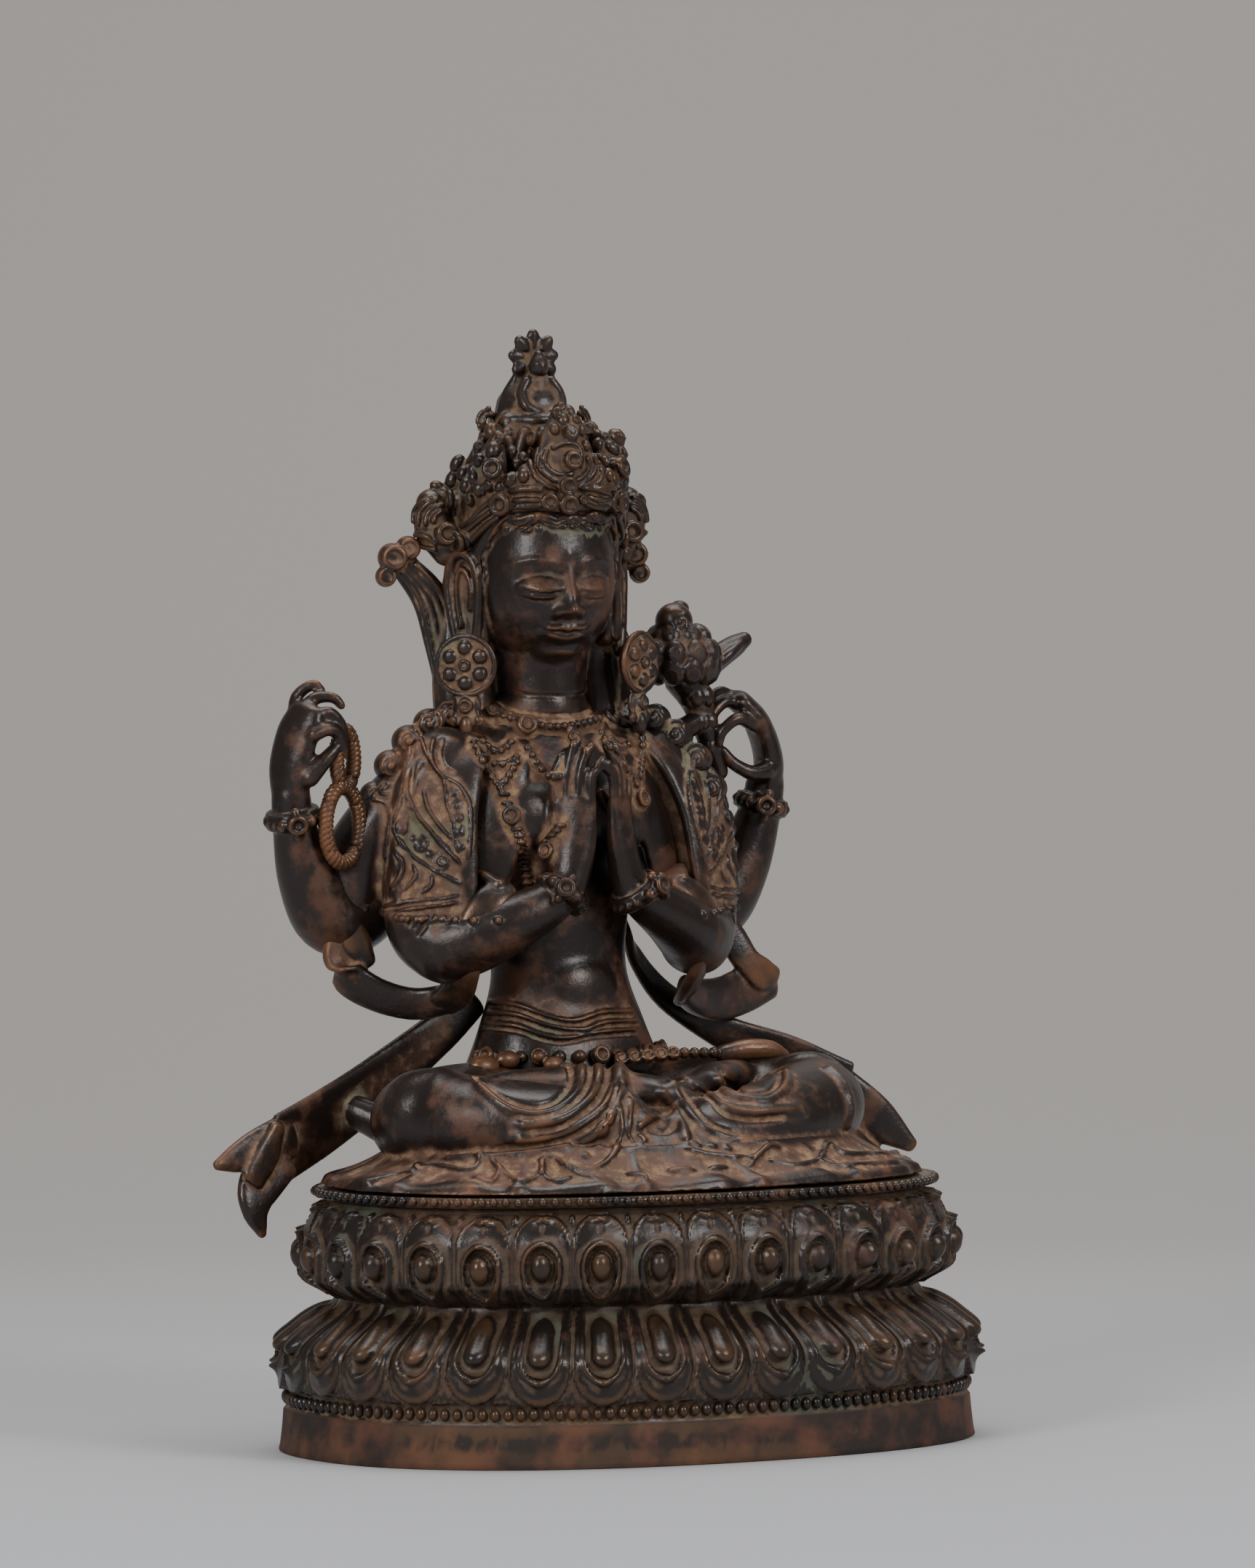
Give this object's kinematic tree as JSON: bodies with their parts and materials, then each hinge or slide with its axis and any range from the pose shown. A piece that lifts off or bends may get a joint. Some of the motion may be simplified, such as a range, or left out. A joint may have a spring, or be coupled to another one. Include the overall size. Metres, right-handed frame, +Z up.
{
  "type": "seated bodhisattva statue",
  "caption": "Cast copper statue of a seated bodhisattva with praying hands, a rosary and a lotus, on an oval double lotus base.",
  "frame": {"origin": "middle of the base's flat underside", "axes": "+Z up through the crown, the figure faces -Y, its own left hand is on the +X side"},
  "size_m": [0.1623, 0.112, 0.2207],
  "materials": {
    "figure_copper": "dark patinated cast copper, worn reddish on the high parts",
    "base_copper": "dark patinated cast copper with earth and verdigris in the recesses"
  },
  "bodies": {
    "root": {"bodhisattva_figure": "figure_copper", "lotus_base": "base_copper"}
  },
  "joints": []
}
